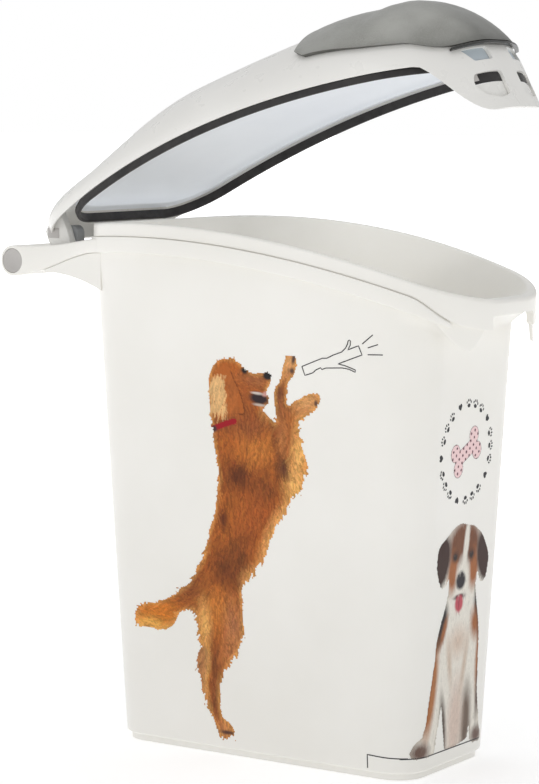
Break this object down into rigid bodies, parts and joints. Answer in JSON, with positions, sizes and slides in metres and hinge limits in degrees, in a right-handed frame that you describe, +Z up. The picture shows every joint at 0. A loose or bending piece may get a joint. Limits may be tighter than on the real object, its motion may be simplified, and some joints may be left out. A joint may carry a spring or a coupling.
{
  "type": "pet food bin",
  "caption": "Tall white pet food bin with a boat-shaped mouth, a round pouring handle behind and a domed, sealed lid with a beak and a soft grip, standing half open.",
  "frame": {"origin": "centre of the tub's flat underside, which stands on the floor", "axes": "+Z up, -Y towards the front and the beak, +Y towards the handle, +X towards the bin's right seen from behind the handle"},
  "size_m": [0.216, 0.4552, 0.6195],
  "materials": {
    "tub_white": "satin moulded polypropylene",
    "lid_white": "smooth moulded polypropylene",
    "panel_blue_grey": "satin moulded lining",
    "hinge_grey": "satin moulded",
    "plug_grey": "satin moulded",
    "seal_black": "soft matt elastomer",
    "grip_grey": "soft-touch with a faint metallic fleck",
    "base_plate_dark": "polished dark plastic",
    "trigger_blue_grey": "satin moulded",
    "pin_steel": "plain drawn wire"
  },
  "bodies": {
    "bin": {"tub": "tub_white", "rim_collar": "tub_white", "handle_bar": "tub_white", "handle_plug_left": "plug_grey", "handle_plug_right": "plug_grey", "hinge_block_left": "hinge_grey", "hinge_block_right": "hinge_grey", "hinge_pin_left": "pin_steel", "hinge_pin_right": "pin_steel", "friction_washer_left": "seal_black", "friction_washer_right": "seal_black"},
    "lid": {"lid_shell": "lid_white", "lid_inner_panel": "panel_blue_grey", "lid_seal": "seal_black", "grip_cover": "grip_grey", "grip_base_plate": "base_plate_dark", "trigger_pin": "pin_steel", "trigger_spring": "pin_steel"},
    "trigger": {"release_trigger": "trigger_blue_grey"}
  },
  "joints": [
    {"name": "lid_hinge", "type": "hinge", "parent": "bin", "child": "lid", "pos_m": [0, 0.19, 0.413], "axis": [-1, 0, 0], "range_deg": [-27.7, 37]},
    {"name": "release_trigger", "type": "hinge", "parent": "lid", "child": "trigger", "pos_m": [0, -0.17103, 0.57939], "axis": [-1, 0, 0], "range_deg": [0, 8], "stiffness_Nm_per_rad": 0.2, "springref_deg": -5.73, "deforming": ["trigger_spring"]}
  ]
}
